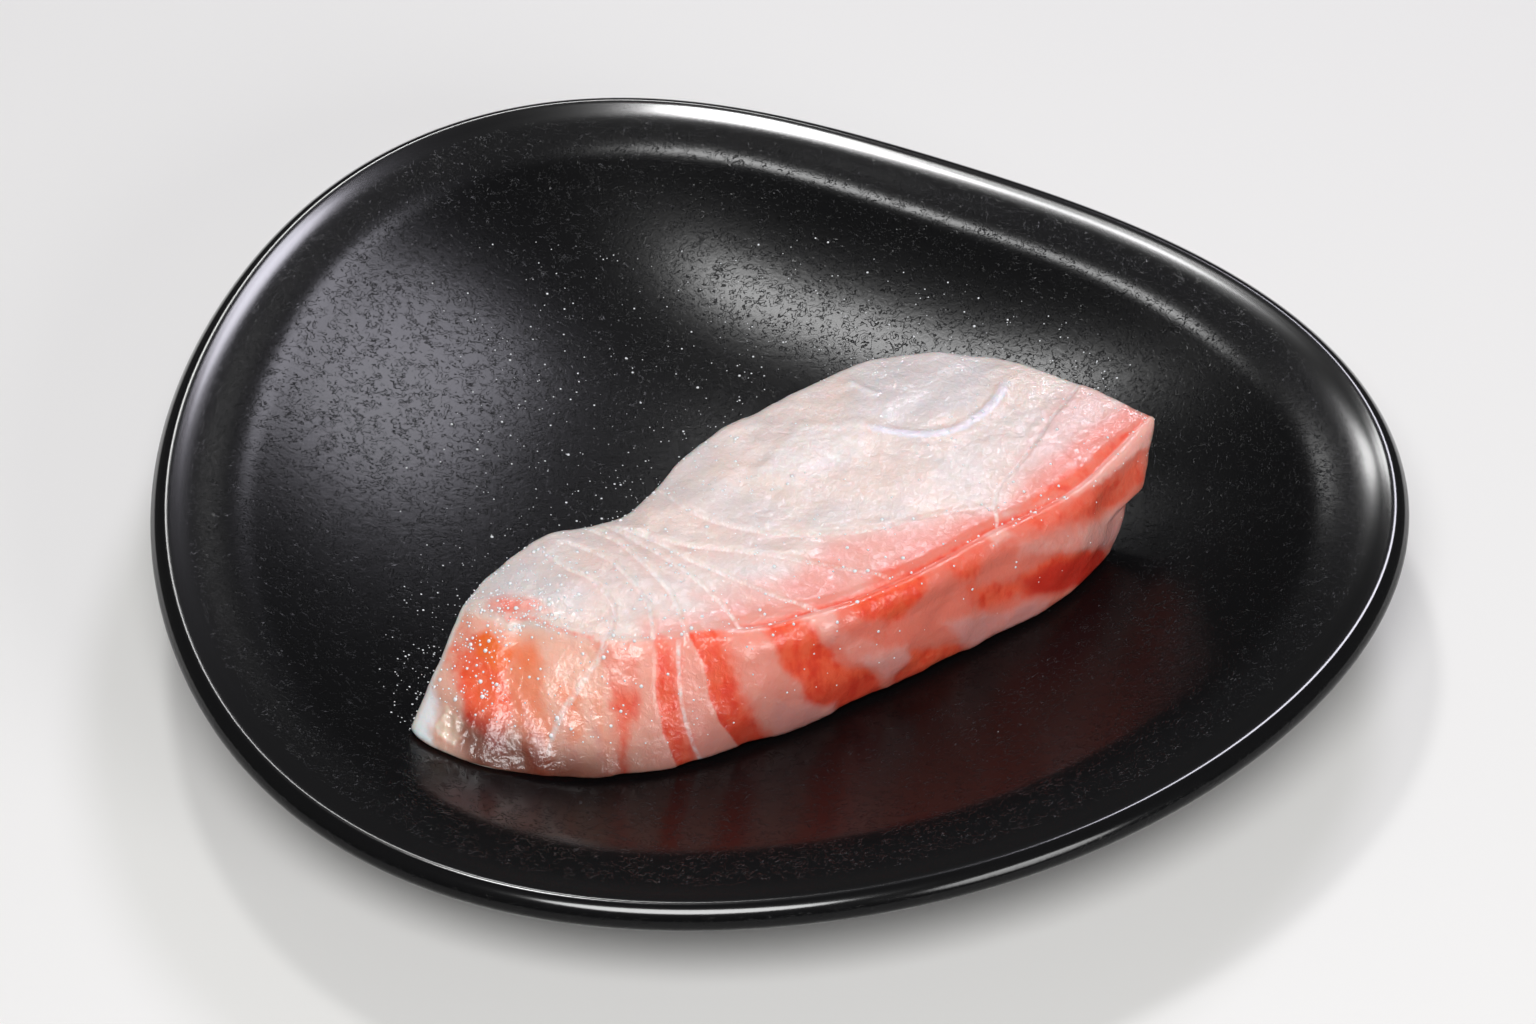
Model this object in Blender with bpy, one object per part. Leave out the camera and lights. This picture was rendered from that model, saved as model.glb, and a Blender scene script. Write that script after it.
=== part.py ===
"""Sashimi plate: a black glazed stoneware dish with one block of sea bream lying in it.

The dish is a pebble in plan, a circle pulled out at three blunt corners, with a shallow coupe
bowl, a flat shoulder, a small raised lip and a foot ring. The fish is a cut block, 130 mm long,
whose underside follows the bowl. Its flakes, crease and steps are relief in the solid.

Lengths are millimetres and become metres where a mesh is made. Z is up, and the origin lies
under the middle of the dish, on the surface that it stands on.
"""

import math

import bmesh
import bpy
from mathutils import Vector, noise

MM = 0.001

# Plan of the dish: waves of the rim about the bowl's lowest point, as the count of crests round
# the rim, the size in millimetres and the direction in degrees. One crest sets the bowl off the
# middle, two make the plan oval, three pull out the blunt corners, and the rest are small.
MEAN_RADIUS = 99.74
PLAN_WAVES = (
    (1, -4.10, 71.1), (2, -3.93, 60.9), (3, -5.44, 59.0),
    (4, -0.73, 66.4), (5, 0.16, 113.2), (6, 0.38, 57.3),
)
SPOKES = 72
PLAN_STEPS = 720

# Heights and section of the dish. The rings are shares of the bowl's radius, and for the shoulder
# distances in from the rim.
BOWL_BOTTOM = 9.0
BOWL_RISE = 13.5
BOWL_POWER = 2.5
SHOULDER_OUTER = 6.0
SHOULDER_INNER = 17.0
SHOULDER_RISE = 2.55
SHOULDER_SLOPE = 0.06
LIP_RISE = 0.95
FLOOR_THICKNESS = 5.2
FOOT_OUTER = 0.64
FOOT_INNER = 0.565
FOOT_DRAFT = 0.012
BOWL_RINGS = (0.12, 0.30, 0.46, 0.60, 0.72, 0.82, 0.91, 1.0)
SHOULDER_RINGS = (14.0, 11.0, 8.5, SHOULDER_OUTER)
UNDERSIDE_RINGS = (0.96, 0.84, FOOT_OUTER + 2.0 * FOOT_DRAFT)
RECESS_RINGS = (FOOT_INNER - FOOT_DRAFT, 0.40, 0.16)
RIM_HEIGHT = BOWL_BOTTOM + BOWL_RISE + SHOULDER_RISE + LIP_RISE

# Section of the lip, from the shoulder over the crest to the underside: inward, below the crest
LIP_SECTION = (
    (5.0, 0.60), (4.1, 0.18), (3.0, 0.0), (1.9, 0.12), (0.9, 0.60), (0.2, 1.5),
    (0.0, 2.6), (0.4, 3.7), (1.6, 4.8), (4.0, 5.7), (8.0, 6.7),
)

# The block of fish: its long axis in plan, and the clearance under it
FISH_ORIGIN = (-58.0, -55.0)
FISH_ANGLE = math.radians(24.0)
FISH_GAP = 0.45
FISH_CUTS = (62, 19, 9)
HALF_WIDTH = 22.0
HALF_HEIGHT = 10.0
ROUNDING_PASSES = 3

# Its four long edges at nine stations: along the axis, across it, height. The height of the two
# lower edges comes from the bowl.
STATIONS = (0.0, 0.08, 0.18, 0.30, 0.45, 0.60, 0.75, 0.88, 1.0)
FRONT_TOP = (
    (20.0, 0.6, 32.6), (24.5, -4.4, 33.6), (31.5, -10.6, 34.0), (44.0, -14.0, 33.6),
    (60.0, -16.2, 33.1), (77.0, -15.2, 32.8), (97.0, -10.4, 32.6), (114.0, -6.6, 32.6),
    (130.0, 3.4, 33.0),
)
BACK_TOP = (
    (13.8, 8.6, 32.0), (19.5, 12.2, 32.8), (30.0, 16.9, 33.3), (43.5, 16.2, 32.8),
    (60.0, 26.6, 33.4), (77.0, 32.0, 33.2), (95.0, 35.5, 33.0), (106.0, 32.6, 32.8),
    (112.5, 27.4, 32.4),
)
FRONT_FOOT = (
    (9.9, -14.8), (17.0, -19.2), (26.5, -22.2), (38.0, -23.3), (54.5, -21.5),
    (72.0, -19.0), (92.5, -15.3), (108.5, -12.2), (120.0, -6.8),
)
BACK_FOOT = (
    (0.0, -2.6), (10.0, 6.4), (24.0, 12.4), (41.0, 14.2), (58.0, 24.4),
    (75.0, 30.4), (93.0, 32.4), (105.0, 30.6), (111.5, 26.5),
)
END_BULGE = 2.4
END_REACH = 6.0
CROWN = 1.1
FRONT_BELLY = 1.3

# Flakes on the top: lines where two layers of muscle meet, each from back to front
SEPTA = (
    ((24.0, 14.5), (29.0, 8.0), (31.5, 0.0), (29.5, -7.0)),
    ((35.0, 17.0), (37.0, 8.0), (38.5, -1.0), (37.0, -10.0)),
    ((38.0, 17.0), (42.0, 6.0), (44.0, -4.0), (44.5, -12.5)),
    ((40.0, 17.0), (45.5, 7.0), (50.0, -3.0), (52.5, -13.5)),
    ((41.0, 17.0), (49.0, 8.0), (57.0, -3.0), (65.0, -15.0)),
    ((42.0, 17.0), (53.0, 8.0), (66.0, 0.5), (80.0, -10.0)),
    ((50.0, 21.0), (60.0, 13.0), (78.0, 8.0), (97.0, -6.0)),
    ((79.0, 32.0), (90.0, 18.0), (104.0, 16.0), (116.0, 26.0)),
    ((121.0, 16.0), (110.0, 10.0), (101.0, 2.0), (97.0, -8.0)),
)
SEPTUM_SAMPLES = 24
FLAKE_STEP = 0.7
FLAKE_GROOVE = 0.5
FLAKE_WIDTH = 1.5
FLAKE_SPREAD = 4.5

# The crease along the front edge with the roll under it, the bands of the front face, the step
# of the right end and the unevenness of the whole
CREASE_START, CREASE_FULL = 0.30, 0.42
CREASE_DEPTH = 1.1
CREASE_WIDTH = 1.6
ROLL_DEPTH = 3.0
ROLL_WIDTH = 2.0
ROLL_HEIGHT = 0.8
BAND_PITCH = 7.5
BAND_PHASE = 0.6
BAND_HEIGHT = 0.35
LAYER_STEP = 2.4
LAYER_FOOT, LAYER_TOP = 22.5, 24.0
LUMP_SIZE = 9.0
LUMP_HEIGHT = 0.5


def clear_scene():
    for thing in list(bpy.data.objects):
        bpy.data.objects.remove(thing)


def smooth(value):
    value = min(max(value, 0.0), 1.0)
    return value * value * (3.0 - 2.0 * value)


def rim_radius(angle):
    """Distance from the bowl's lowest point to the rim's outer edge."""
    return MEAN_RADIUS + sum(size * math.cos(count * (angle - math.radians(toward)))
                             for count, size, toward in PLAN_WAVES)


def plan_centre():
    """Place of the bowl's lowest point when the dish's box is centred on the origin."""
    angles = [math.tau * k / PLAN_STEPS for k in range(PLAN_STEPS)]
    xs = [rim_radius(a) * math.cos(a) for a in angles]
    ys = [rim_radius(a) * math.sin(a) for a in angles]
    return Vector((-(min(xs) + max(xs)) / 2.0, -(min(ys) + max(ys)) / 2.0))


CENTRE = plan_centre()


def bowl_rise(share):
    """Height of the glazed inside at a share of the bowl's radius."""
    return BOWL_BOTTOM + BOWL_RISE * share ** BOWL_POWER


def bowl_height(x, y):
    """Height of the glazed inside at a place inside the shoulder."""
    reach = Vector((x, y)) - CENTRE
    angle = math.atan2(reach.y, reach.x)
    return bowl_rise(reach.length / (rim_radius(angle) - SHOULDER_INNER))


def shoulder_height(inward, angle):
    """Height between the bowl's wall and the lip, one smooth S from slope to slope."""
    width = SHOULDER_INNER - SHOULDER_OUTER
    wall_slope = BOWL_POWER * BOWL_RISE / (rim_radius(angle) - SHOULDER_INNER)
    t = (SHOULDER_INNER - inward) / width
    low = bowl_rise(1.0)
    high = low + SHOULDER_RISE
    return (low * (2 * t ** 3 - 3 * t ** 2 + 1) + high * (3 * t ** 2 - 2 * t ** 3)
            + width * wall_slope * (t ** 3 - 2 * t ** 2 + t)
            + width * SHOULDER_SLOPE * (t ** 3 - t ** 2))


def place_ring(verts, spot):
    """Move each point along its own spoke to the radius and height that spot(angle) gives."""
    for vert in verts:
        angle = math.atan2(vert.co.y / MM - CENTRE.y, vert.co.x / MM - CENTRE.x)
        radius, height = spot(angle)
        vert.co.x = (CENTRE.x + radius * math.cos(angle)) * MM
        vert.co.y = (CENTRE.y + radius * math.sin(angle)) * MM
        vert.co.z = height * MM


def plate_rings():
    """Rings of the section from the bowl's middle over the lip and under to the recess."""
    rings = []

    def at_share(share, height):
        rings.append(lambda a: (share * (rim_radius(a) - SHOULDER_INNER), height))

    def at_inward(inward, height):
        rings.append(lambda a: (rim_radius(a) - inward, height(a)))

    for share in BOWL_RINGS:
        at_share(share, bowl_rise(share))
    for inward in SHOULDER_RINGS:
        at_inward(inward, lambda a, inward=inward: shoulder_height(inward, a))
    for inward, drop in LIP_SECTION:
        at_inward(inward, lambda a, drop=drop: RIM_HEIGHT - drop)
    for share in UNDERSIDE_RINGS:
        at_share(share, bowl_rise(share) - FLOOR_THICKNESS)
    at_share(FOOT_OUTER, 0.0)
    at_share(FOOT_INNER, 0.0)
    for share in RECESS_RINGS:
        at_share(share, bowl_rise(share) - FLOOR_THICKNESS)
    return rings


def build_plate():
    bm = bmesh.new()
    bmesh.ops.create_circle(bm, cap_ends=True, cap_tris=True, segments=SPOKES, radius=1.0)
    hub = next(v for v in bm.verts if len(v.link_edges) == SPOKES)
    hub.co = (CENTRE.x * MM, CENTRE.y * MM, BOWL_BOTTOM * MM)
    rim = [v for v in bm.verts if v is not hub]
    for vert in rim:
        vert.co.x += CENTRE.x * MM
        vert.co.y += CENTRE.y * MM
    edges = [e for e in bm.edges if e.is_boundary]
    rings = plate_rings()
    place_ring(rim, rings[0])
    for ring in rings[1:]:
        grown = bmesh.ops.extrude_edge_only(bm, edges=edges)["geom"]
        place_ring([g for g in grown if isinstance(g, bmesh.types.BMVert)], ring)
        edges = [g for g in grown if isinstance(g, bmesh.types.BMEdge) and g.is_boundary]
    cap = bmesh.ops.contextual_create(bm, geom=edges)["faces"]
    bmesh.ops.poke(bm, faces=cap)
    bmesh.ops.triangulate(bm, faces=bm.faces[:])
    bmesh.ops.recalc_face_normals(bm, faces=bm.faces[:])
    return bm


def rail(points, share):
    """Point of an edge at a share of its length, on a smooth curve through its stations."""
    last = len(STATIONS) - 1
    k = max(i for i in range(last) if STATIONS[i] <= share or i == 0)
    span = STATIONS[k + 1] - STATIONS[k]
    t = (share - STATIONS[k]) / span

    def slope(i):
        lo, hi = max(i - 1, 0), min(i + 1, last)
        return (Vector(points[hi]) - Vector(points[lo])) / (STATIONS[hi] - STATIONS[lo])

    start, end = Vector(points[k]), Vector(points[k + 1])
    return (start * (2 * t ** 3 - 3 * t ** 2 + 1) + end * (3 * t ** 2 - 2 * t ** 3)
            + slope(k) * span * (t ** 3 - 2 * t ** 2 + t) + slope(k + 1) * span * (t ** 3 - t ** 2))


def fish_to_plan(along, across):
    cos, sin = math.cos(FISH_ANGLE), math.sin(FISH_ANGLE)
    return (FISH_ORIGIN[0] + along * cos - across * sin, FISH_ORIGIN[1] + along * sin + across * cos)


def on_bowl(along, across):
    return Vector((along, across, bowl_height(*fish_to_plan(along, across)) + FISH_GAP))


def fish_form(a, b, c):
    """The plain block: a runs along it, b from front to back, c from foot to top, all -1 to 1."""
    share = (a + 1.0) / 2.0
    front_top, back_top = rail(FRONT_TOP, share), rail(BACK_TOP, share)
    front_foot, back_foot = on_bowl(*rail(FRONT_FOOT, share)), on_bowl(*rail(BACK_FOOT, share))
    back, top = (b + 1.0) / 2.0, (c + 1.0) / 2.0
    low = front_foot.lerp(back_foot, back)
    high = front_top.lerp(back_top, back)
    point = low.lerp(high, top)
    point.z += CROWN * (1.0 - b * b) * top
    point.y -= FRONT_BELLY * (1.0 - c * c) * (1.0 - back)
    near_left_end = smooth((-a - 1.0) * END_REACH + 1.0)
    point.x -= END_BULGE * (1.0 - b * b) * (1.0 - top) * near_left_end
    return point


def curve_point(points, t):
    """Bezier curve of degree three through its first and last point."""
    p0, p1, p2, p3 = (Vector(p) for p in points)
    s = 1.0 - t
    return p0 * s ** 3 + p1 * 3 * s * s * t + p2 * 3 * s * t * t + p3 * t ** 3


def septum_lines():
    shares = [k / SEPTUM_SAMPLES for k in range(SEPTUM_SAMPLES + 1)]
    return [[curve_point(line, share) for share in shares] for line in SEPTA]


def flake_relief(along, across, lines):
    """Height of the top over its plain form: a fine groove at each line, a low step beside it."""
    height = 0.0
    spot = Vector((along, across))
    for line in lines:
        k = min(range(len(line)), key=lambda i: (line[i] - spot).length_squared)
        lo, hi = line[max(k - 1, 0)], line[min(k + 1, len(line) - 1)]
        course = (hi - lo).normalized()
        away = spot - line[k]
        side = course.x * away.y - course.y * away.x
        reach = away.length
        height -= FLAKE_GROOVE * math.exp(-(reach / FLAKE_WIDTH) ** 2)
        if side > 0.0:
            height += FLAKE_STEP * math.exp(-reach / FLAKE_SPREAD)
    return height


def fish_relief(vert, shape, lines):
    """How far a point of the smoothed block stands proud of it, along its normal."""
    a, b, c = shape
    along, across, _ = vert
    height = 0.0
    on_front = b < -0.999
    below_edge = (1.0 - c) * HALF_HEIGHT
    behind_edge = (1.0 + b) * HALF_WIDTH
    if not on_front:
        near_top = smooth(1.0 - (1.0 - c) * HALF_HEIGHT / 2.0)
        height += flake_relief(along, across, lines) * near_top
    share = (a + 1.0) / 2.0
    creased = smooth((share - CREASE_START) / (CREASE_FULL - CREASE_START))
    height -= creased * CREASE_DEPTH * math.exp(-((behind_edge + below_edge) / CREASE_WIDTH) ** 2)
    if on_front:
        height += creased * ROLL_HEIGHT * math.exp(-((below_edge - ROLL_DEPTH) / ROLL_WIDTH) ** 2)
        bands = math.sin(along * math.tau / BAND_PITCH + BAND_PHASE)
        height += BAND_HEIGHT * bands * (1.0 - creased) * (1.0 - c * c)
    lump = noise.noise(Vector((along, across, c * HALF_HEIGHT)) / LUMP_SIZE)
    return height + LUMP_HEIGHT * lump


def build_fish():
    bm = bmesh.new()
    bmesh.ops.create_cube(bm, size=2.0)
    for axis, cuts in enumerate(FISH_CUTS):
        run = [e for e in bm.edges if abs(e.verts[0].co[axis] - e.verts[1].co[axis]) > 1e-6]
        bmesh.ops.subdivide_edges(bm, edges=run, cuts=cuts, use_grid_fill=True)
    shapes = [tuple(v.co) for v in bm.verts]
    for vert, shape in zip(bm.verts, shapes):
        vert.co = fish_form(*shape)
    for _ in range(ROUNDING_PASSES):
        bmesh.ops.smooth_vert(bm, verts=bm.verts[:], factor=0.5, use_axis_x=True,
                              use_axis_y=True, use_axis_z=True)
    bm.normal_update()
    bmesh.ops.recalc_face_normals(bm, faces=bm.faces[:])
    lines = septum_lines()
    moves = [v.normal * fish_relief(v.co, s, lines) for v, s in zip(bm.verts, shapes)]
    for vert, shape, move in zip(bm.verts, shapes, moves):
        vert.co += move
        upper_layer = smooth((vert.co.z - LAYER_FOOT) / (LAYER_TOP - LAYER_FOOT))
        near_right_end = smooth((shape[0] - 1.0) * END_REACH + 1.0)
        vert.co.x += LAYER_STEP * upper_layer * near_right_end
        x, y = fish_to_plan(vert.co.x, vert.co.y)
        floor = bowl_height(x, y) + FISH_GAP
        vert.co = Vector((x, y, max(vert.co.z, floor))) * MM
    bmesh.ops.triangulate(bm, faces=bm.faces[:])
    return bm


def finish(name, colour, roughness):
    material = bpy.data.materials.new(name)
    material.use_nodes = True
    shader = material.node_tree.nodes["Principled BSDF"]
    shader.inputs["Base Color"].default_value = (*colour, 1.0)
    shader.inputs["Roughness"].default_value = roughness
    shader.inputs["Metallic"].default_value = 0.0
    return material


def add_object(name, bm, material):
    mesh = bpy.data.meshes.new(name)
    bm.to_mesh(mesh)
    bm.free()
    mesh.shade_smooth()
    mesh.materials.append(material)
    thing = bpy.data.objects.new(name, mesh)
    bpy.context.scene.collection.objects.link(thing)
    return thing


def main():
    clear_scene()
    glaze = finish("black_satin_glaze", (0.010, 0.010, 0.012), 0.32)
    flesh = finish("raw_sea_bream", (0.78, 0.50, 0.44), 0.38)
    add_object("plate", build_plate(), glaze)
    add_object("fish_block", build_fish(), flesh)


main()
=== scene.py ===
# %% [markdown]
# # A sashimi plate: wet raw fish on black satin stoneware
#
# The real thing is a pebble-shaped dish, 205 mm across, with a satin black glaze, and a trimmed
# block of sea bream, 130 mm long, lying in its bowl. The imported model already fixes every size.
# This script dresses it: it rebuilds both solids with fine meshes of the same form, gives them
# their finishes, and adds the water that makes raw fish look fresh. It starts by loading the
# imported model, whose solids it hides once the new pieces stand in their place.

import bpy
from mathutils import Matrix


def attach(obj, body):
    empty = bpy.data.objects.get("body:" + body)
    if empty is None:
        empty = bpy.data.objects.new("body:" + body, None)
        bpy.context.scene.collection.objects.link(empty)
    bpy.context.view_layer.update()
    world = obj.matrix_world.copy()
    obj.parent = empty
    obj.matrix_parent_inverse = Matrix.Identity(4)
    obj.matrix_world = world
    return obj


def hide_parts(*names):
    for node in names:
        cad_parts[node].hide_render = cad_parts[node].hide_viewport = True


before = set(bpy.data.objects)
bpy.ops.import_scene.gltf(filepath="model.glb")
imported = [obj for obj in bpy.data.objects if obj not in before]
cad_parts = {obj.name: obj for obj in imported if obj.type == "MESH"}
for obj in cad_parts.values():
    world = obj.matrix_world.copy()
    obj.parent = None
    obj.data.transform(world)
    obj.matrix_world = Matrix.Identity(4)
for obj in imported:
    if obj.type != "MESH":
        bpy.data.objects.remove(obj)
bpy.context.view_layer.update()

import math

import bmesh
import bpy
import numpy as np
from mathutils import Vector, noise

MM = 0.001

# %% [markdown]
# ## The camera
#
# A product photographer stands back and uses a long lens, so that the dish isn't distorted. An
# 85 mm lens at 0.58 m, looking down at about 43 degrees, gives the photograph's ellipse and its
# slightly larger near edge. The camera only turns about the X axis, so the dish stays level.

# %% Place the camera
LENS_LENGTH = 85.0
SENSOR_WIDTH = 36.0
CAMERA_ELEVATION = math.radians(42.8)
CAMERA_DISTANCE = 0.583
AIM = Vector((-0.00182, -0.01427, 0.026))

camera_data = bpy.data.cameras.new("product_lens")
camera_data.lens = LENS_LENGTH
camera_data.sensor_width = SENSOR_WIDTH
camera = bpy.data.objects.new("camera", camera_data)
toward_camera = Vector((0.0, -math.cos(CAMERA_ELEVATION), math.sin(CAMERA_ELEVATION)))
camera.location = AIM + CAMERA_DISTANCE * toward_camera
camera.rotation_euler = (math.radians(90.0) - CAMERA_ELEVATION, 0.0, 0.0)
bpy.context.scene.collection.objects.link(camera)
bpy.context.scene.camera = camera
print("camera at", tuple(round(c, 3) for c in camera.location))

# %% [markdown]
# ## Colours and nodes
#
# Colours are written as a painter's hex values and turned to the linear light that the renderer
# works in. Materials are node trees, so one small function adds a node, sets what is given and
# links what comes from another node. Patterns are sized from millimetres: a noise texture on
# object coordinates in metres has one bump per metre at scale 1, and 1000 bumps at scale 1000.

# %% Helpers for colours and nodes
bpy.context.scene.view_settings.view_transform = "Standard"


def linear(hex_colour):
    """RGBA in linear light from an sRGB hex value such as #c0ffee."""
    parts = [int(hex_colour[k:k + 2], 16) / 255.0 for k in (1, 3, 5)]
    return (*[p / 12.92 if p <= 0.04045 else ((p + 0.055) / 1.055) ** 2.4 for p in parts], 1.0)


def add_node(tree, kind, settings=None, **inputs):
    """A node of that kind, its properties set, its sockets given a value or a link."""
    node = tree.nodes.new(kind)
    for key, value in (settings or {}).items():
        setattr(node, key, value)
    for key, value in inputs.items():
        socket = node.inputs[int(key[1:]) if key[1:].isdigit() else key.replace("_", " ")]
        if isinstance(value, bpy.types.NodeSocket):
            tree.links.new(value, socket)
        else:
            socket.default_value = value
    return node


def new_material(name):
    """A material with an empty tree, its tree and its output node."""
    material = bpy.data.materials.new(name)
    material.use_nodes = True
    tree = material.node_tree
    tree.nodes.clear()
    return material, tree, tree.nodes.new("ShaderNodeOutputMaterial")


def per_mm(size):
    """Scale of a pattern whose bumps are that many millimetres wide."""
    return 1.0 / (size * MM)


def pattern(tree, place, size, detail=2.0, distortion=0.0):
    """Noise from 0 to 1 with bumps that many millimetres wide."""
    return add_node(tree, "ShaderNodeTexNoise", Vector=place, Scale=per_mm(size), Detail=detail,
                    Distortion=distortion).outputs["Fac"]


def ramp(tree, value, low, high, start=0.0, end=1.0):
    """A smooth step that goes from start to end while the value goes from low to high."""
    return add_node(tree, "ShaderNodeMapRange", {"interpolation_type": "SMOOTHSTEP"},
                    Value=value, From_Min=low, From_Max=high, To_Min=start,
                    To_Max=end).outputs["Result"]


def math_node(tree, operation, a, b=0.0, c=0.0):
    return add_node(tree, "ShaderNodeMath", {"operation": operation}, _0=a, _1=b,
                    _2=c).outputs["Value"]


print("white is", linear("#ffffff"), "and a 2 mm pattern has scale", per_mm(2.0))

# %% [markdown]
# ## The dish
#
# A potter would throw a round coupe dish and push it out of round while it is soft. The script
# does the same: a ring of points goes along the section from the middle of the bowl, up over the
# lip and under to the foot, and on every spoke the ring's radius follows the pebble outline. The
# outline is a circle with a few waves. The section has a bowl that steepens outwards, a shoulder,
# and a rounded lip. Extruding the open edge ring by ring keeps every wall a row of clean quads.

# %% Sizes of the dish, in millimetres
MEAN_RADIUS = 99.74
PLAN_WAVES = (
    (1, -4.10, 71.1), (2, -3.93, 60.9), (3, -5.44, 59.0),
    (4, -0.73, 66.4), (5, 0.16, 113.2), (6, 0.38, 57.3),
)
PLAN_STEPS = 720
SPOKES = 288
BOWL_BOTTOM = 9.0
BOWL_RISE = 13.5
BOWL_POWER = 2.5
SHOULDER_OUTER = 6.0
SHOULDER_INNER = 17.0
SHOULDER_RISE = 2.55
SHOULDER_SLOPE = 0.24
LIP_RISE = 0.95
FLOOR_THICKNESS = 5.2
FOOT_OUTER = 0.64
FOOT_INNER = 0.565
FOOT_DRAFT = 0.012
LIP_SECTION = (
    (5.0, 0.68), (4.0, 0.40), (3.0, 0.15), (2.2, 0.10), (1.4, 0.42), (0.7, 1.00), (0.2, 1.8),
    (0.0, 2.8), (0.4, 3.8), (1.6, 4.8), (4.0, 5.7), (8.0, 6.7),
)
LIP_STEPS = 4


def rim_radius(angle):
    """Distance from the bowl's lowest point to the rim's outer edge."""
    return MEAN_RADIUS + sum(size * np.cos(count * (angle - math.radians(toward)))
                             for count, size, toward in PLAN_WAVES)


outline_angles = np.arange(PLAN_STEPS) * math.tau / PLAN_STEPS
outline_radii = rim_radius(outline_angles)
outline = np.stack([outline_radii * np.cos(outline_angles), outline_radii * np.sin(outline_angles)])
CENTRE = -(outline.min(axis=1) + outline.max(axis=1)) / 2.0
print("bowl's lowest point at", CENTRE.round(2), "mm, dish", np.ptp(outline, axis=1).round(1), "mm")


# %% Heights of the bowl, shoulder and lip
def bowl_rise(share):
    """Height of the glazed inside at a share of the bowl's radius."""
    return BOWL_BOTTOM + BOWL_RISE * share ** BOWL_POWER


def bowl_height(x, y):
    """Height of the glazed inside at places inside the shoulder."""
    dx, dy = x - CENTRE[0], y - CENTRE[1]
    return bowl_rise(np.hypot(dx, dy) / (rim_radius(np.arctan2(dy, dx)) - SHOULDER_INNER))


def hermite(t, start, end, start_slope, end_slope):
    """Smooth curve between two values with given slopes, t from 0 to 1."""
    return (start * (2 * t ** 3 - 3 * t ** 2 + 1) + end * (3 * t ** 2 - 2 * t ** 3)
            + start_slope * (t ** 3 - 2 * t ** 2 + t) + end_slope * (t ** 3 - t ** 2))


def shoulder_height(inward, angle):
    """Height between the bowl's wall and the lip."""
    width = SHOULDER_INNER - SHOULDER_OUTER
    wall_slope = BOWL_POWER * BOWL_RISE / (rim_radius(angle) - SHOULDER_INNER)
    low = bowl_rise(1.0)
    return hermite((SHOULDER_INNER - inward) / width, low, low + SHOULDER_RISE,
                   width * wall_slope, width * SHOULDER_SLOPE)


def through(points, steps):
    """Points on a smooth curve through the given ones, steps to each span."""
    points = np.array(points, float)
    slopes = np.gradient(points, axis=0)
    curve = [hermite(k / steps, points[i], points[i + 1], slopes[i], slopes[i + 1])
             for i in range(len(points) - 1) for k in range(steps)]
    return [*curve, points[-1]]


RIM_HEIGHT = bowl_rise(1.0) + SHOULDER_RISE + LIP_RISE
print("rim at", RIM_HEIGHT, "mm, bowl at the middle", bowl_rise(0.0), "mm")


# %% Rings of the section
def dish_rings():
    """For each ring a function of the angle that gives its radius and height."""
    rings = []

    def at_share(share, height):
        rings.append(lambda a: (share * (rim_radius(a) - SHOULDER_INNER), height))

    def at_inward(inward, height):
        rings.append(lambda a: (rim_radius(a) - inward, height(a)))

    for share in np.linspace(0.06, 1.0, 26):
        at_share(share, bowl_rise(share))
    for inward in np.linspace(SHOULDER_INNER, SHOULDER_OUTER, 14)[1:]:
        at_inward(inward, lambda a, inward=inward: shoulder_height(inward, a))
    for inward, drop in through(LIP_SECTION, LIP_STEPS):
        at_inward(inward, lambda a, drop=drop: RIM_HEIGHT - drop)
    for share in np.linspace(0.94, FOOT_OUTER + 2.0 * FOOT_DRAFT, 8):
        at_share(share, bowl_rise(share) - FLOOR_THICKNESS)
    foot_top = bowl_rise(FOOT_OUTER) - FLOOR_THICKNESS
    foot_section = ((FOOT_DRAFT, 0.5 * foot_top), (0.002, 0.7), (-0.001, 0.2), (-0.008, 0.0))
    for out, height in foot_section:
        at_share(FOOT_OUTER + out, height)
    for out, height in reversed(foot_section):
        at_share(FOOT_INNER - out, height)
    for share in (FOOT_INNER - 2.0 * FOOT_DRAFT, 0.50, 0.40, 0.28, 0.16, 0.08):
        at_share(share, bowl_rise(share) - FLOOR_THICKNESS)
    return rings


print(len(dish_rings()), "rings of", SPOKES, "points")


# %% Turn the rings into a mesh
def place_ring(verts, spot):
    """Move each point along its own spoke to the radius and height that spot(angle) gives."""
    for vert in verts:
        angle = math.atan2(vert.co.y / MM - CENTRE[1], vert.co.x / MM - CENTRE[0])
        radius, height = spot(angle)
        vert.co = ((CENTRE[0] + radius * math.cos(angle)) * MM,
                   (CENTRE[1] + radius * math.sin(angle)) * MM, height * MM)


def link_piece(name, bm, *materials):
    """An object at the origin that shows the bmesh, smooth shaded, with these materials."""
    mesh = bpy.data.meshes.new(name)
    bm.to_mesh(mesh)
    bm.free()
    mesh.shade_smooth()
    for material in materials:
        mesh.materials.append(material)
    piece = bpy.data.objects.new(name, mesh)
    bpy.context.scene.collection.objects.link(piece)
    return piece


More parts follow.
